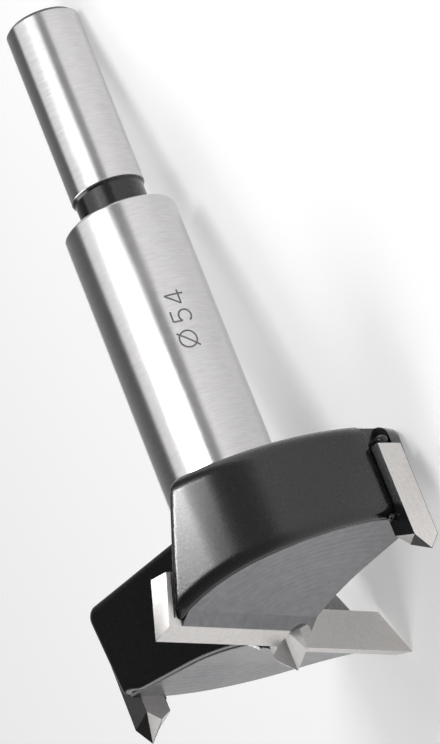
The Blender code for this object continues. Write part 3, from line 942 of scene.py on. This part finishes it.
bead.links.new(beadIn.outputs["Step"], beadSteps.inputs["Length"])
bead.links.new(bead.nodes.new("GeometryNodeInputPosition").outputs[0], beadNoise.inputs["Vector"])
bead.links.new(beadIn.outputs["Seed"], beadNoise.inputs["W"])
beadScale = mathNode(bead, "ADD", beadNoise.outputs["Fac"], seam["thinnest"])
beadScale = mathNode(bead, "MULTIPLY", beadScale, beadIn.outputs["Radius"])
bead.links.new(beadSteps.outputs[0], beadSkin.inputs["Curve"])
bead.links.new(beadRing.outputs[0], beadSkin.inputs["Profile Curve"])
bead.links.new(beadScale, beadSkin.inputs["Scale"])
endTree(bead, beadSkin.outputs[0], beadIn, beadOut)


def seamBead(name, points, turn, seed):
    mesh = bpy.data.meshes.new(name)
    mesh.from_pydata([Vector(p) * mm for p in points], chain(len(points)), [])
    mesh.transform(toolToWorld @ turn)
    made = runTree(name, bead, mesh, Radius=seam["beadRadius"] * mm, Step=seam["step"] * mm,
                   Seed=seed, Material=blackPaint)
    return addPiece(name, made, blackPaint, 50)


def plateBack(height):
    depth = (head["plateThickness"] + seam["lift"]) / rakeCos
    return -((head["cutHeight"] - height) * rakeSlope + depth)


for seed, letter in enumerate(lobes, 1):
    footing = head["cutHeight"] - head["plateHeight"] - seam["lift"]
    footY = plateBack(footing)
    path = [(seam["radial"], plateBack(z), z) for z in np.linspace(seam["top"], footing, 12)]
    path += [(seam["radial"], y, footing)
             for y in np.linspace(footY + seam["footStart"], footY + seam["footEnd"], 4)]
    paintPieces.append(seamBead("plate_seam_" + letter, path, lobes[letter], seed))
print("paint pieces made")


# The size mark: plain strokes in the flat, wrapped on the body
sizeMark = dict(height=50.95, baseline=-8.73, stroke=0.23, depth=0.03, letterStep=0.12)


def arcOf(center, radius, start, end, steps):
    angles = np.radians(np.linspace(start, end, steps))
    return [(center[0] + radius * math.cos(a), center[1] + radius * math.sin(a)) for a in angles]


markStrokes = [
    arcOf((0.0, 1.66), 1.16, 0, 360, 40),
    [(-1.16, 0.34), (1.04, 2.91)],
    [(4.14, 2.65), (2.66, 2.70)],
    [(2.66, 2.70), (2.58, 1.45)],
    arcOf((3.22, 0.90), 0.86, 140, -150, 30),
    [(6.38, 2.64), (6.38, 0.06)],
    [(6.36, 2.60), (4.98, 0.80)],
    [(4.96, 0.78), (6.94, 0.76)],
]
wrap, wrapIn, wrapOut = geometryTree("wrapped_strokes", [
    ("Stroke", "number", 0.0002), ("Depth", "number", 0.00002),
    ("Step", "number", 0.0001), ("Radius", "number", 0.01), ("Along", "number", 0.0),
    ("Arc", "number", 0.0), ("Origin", "vector", None), ("Axis", "vector", None),
    ("First", "vector", None), ("Second", "vector", None), ("Material", "material", None)])
wrapCurve = wrap.nodes.new("GeometryNodeMeshToCurve")
wrapSteps = wrap.nodes.new("GeometryNodeResampleCurve")
wrapSteps.mode = "LENGTH"
wrapNormal = wrap.nodes.new("GeometryNodeSetCurveNormal")
wrapNormal.mode = "Z_UP"
wrapProfile = wrap.nodes.new("GeometryNodeCurvePrimitiveQuadrilateral")
wrapSkin = wrap.nodes.new("GeometryNodeCurveToMesh")
wrapSkin.inputs["Fill Caps"].default_value = True
wrap.links.new(wrapIn.outputs["Geometry"], wrapCurve.inputs[0])
wrap.links.new(wrapCurve.outputs[0], wrapSteps.inputs["Curve"])
wrap.links.new(wrapIn.outputs["Step"], wrapSteps.inputs["Length"])
wrap.links.new(wrapSteps.outputs[0], wrapNormal.inputs["Curve"])
wrap.links.new(wrapIn.outputs["Stroke"], wrapProfile.inputs["Width"])
wrap.links.new(wrapIn.outputs["Depth"], wrapProfile.inputs["Height"])
wrap.links.new(wrapNormal.outputs[0], wrapSkin.inputs["Curve"])
wrap.links.new(wrapProfile.outputs[0], wrapSkin.inputs["Profile Curve"])
flat = wrap.nodes.new("ShaderNodeSeparateXYZ")
wrap.links.new(wrap.nodes.new("GeometryNodeInputPosition").outputs[0], flat.inputs[0])
wrapAngle = mathNode(wrap, "ADD", flat.outputs["Y"], wrapIn.outputs["Arc"])
wrapAngle = mathNode(wrap, "DIVIDE", wrapAngle, wrapIn.outputs["Radius"])
wrapRadius = mathNode(wrap, "ADD", wrapIn.outputs["Radius"], flat.outputs["Z"])
wrapAlong = mathNode(wrap, "SUBTRACT", wrapIn.outputs["Along"], flat.outputs["X"])
firstPart, secondPart = [
    vectorNode(wrap, "SCALE", wrapIn.outputs[label], scale=mathNode(wrap, wave, wrapAngle))
    for label, wave in (("First", "COSINE"), ("Second", "SINE"))]
across = vectorNode(wrap, "ADD", firstPart, secondPart)
spot = vectorNode(wrap, "ADD", vectorNode(wrap, "SCALE", across, scale=wrapRadius),
                  vectorNode(wrap, "SCALE", wrapIn.outputs["Axis"], scale=wrapAlong))
wrapMove = wrap.nodes.new("GeometryNodeSetPosition")
wrap.links.new(wrapSkin.outputs[0], wrapMove.inputs["Geometry"])
wrap.links.new(vectorNode(wrap, "ADD", spot, wrapIn.outputs["Origin"]), wrapMove.inputs["Position"])
endTree(wrap, wrapMove.outputs[0], wrapIn, wrapOut)

strokePoints, strokeEdges = [], []
for line in markStrokes:
    first = len(strokePoints)
    strokePoints += [(x * mm, y * mm, 0.0) for x, y in line]
    strokeEdges += chain(len(line), first)
strokeMesh = bpy.data.meshes.new("size_mark")
strokeMesh.from_pydata(strokePoints, strokeEdges, [])
markMesh = runTree(
    "size_mark", wrap, strokeMesh,
    Stroke=sizeMark["stroke"] * mm, Depth=sizeMark["depth"] * mm, Step=sizeMark["letterStep"] * mm,
    Radius=bar["bodyRadius"] * mm, Along=sizeMark["height"] * mm, Arc=sizeMark["baseline"] * mm,
    Origin=tuple(toolOrigin), Axis=tuple(toolAxis), First=tuple(toolX), Second=tuple(toolY),
    Material=etchedMark)
sizeMarkPiece = addPiece("size_mark", markMesh, etchedMark, 40)
print("size mark wrapped")


# Everything rides on the one body
for piece in turnedPieces + [headPiece, sizeMarkPiece] + undersides + paintPieces:
    finishPiece(piece)
    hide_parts("body")
for node, piece in carbidePieces.items():
    finishPiece(piece)
    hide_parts(node)

floorReach = 6.0
floorCorners = [(-1, -1), (1, -1), (1, 1), (-1, 1)]
floorMesh = bpy.data.meshes.new("floor")
floorMesh.from_pydata([(x * floorReach, y * floorReach, 0) for x, y in floorCorners],
                      [], [(0, 1, 2, 3)])
floor = addPiece("floor", floorMesh, floorMaterial)

view = bpy.context.scene.view_settings
view.view_transform = "Standard"
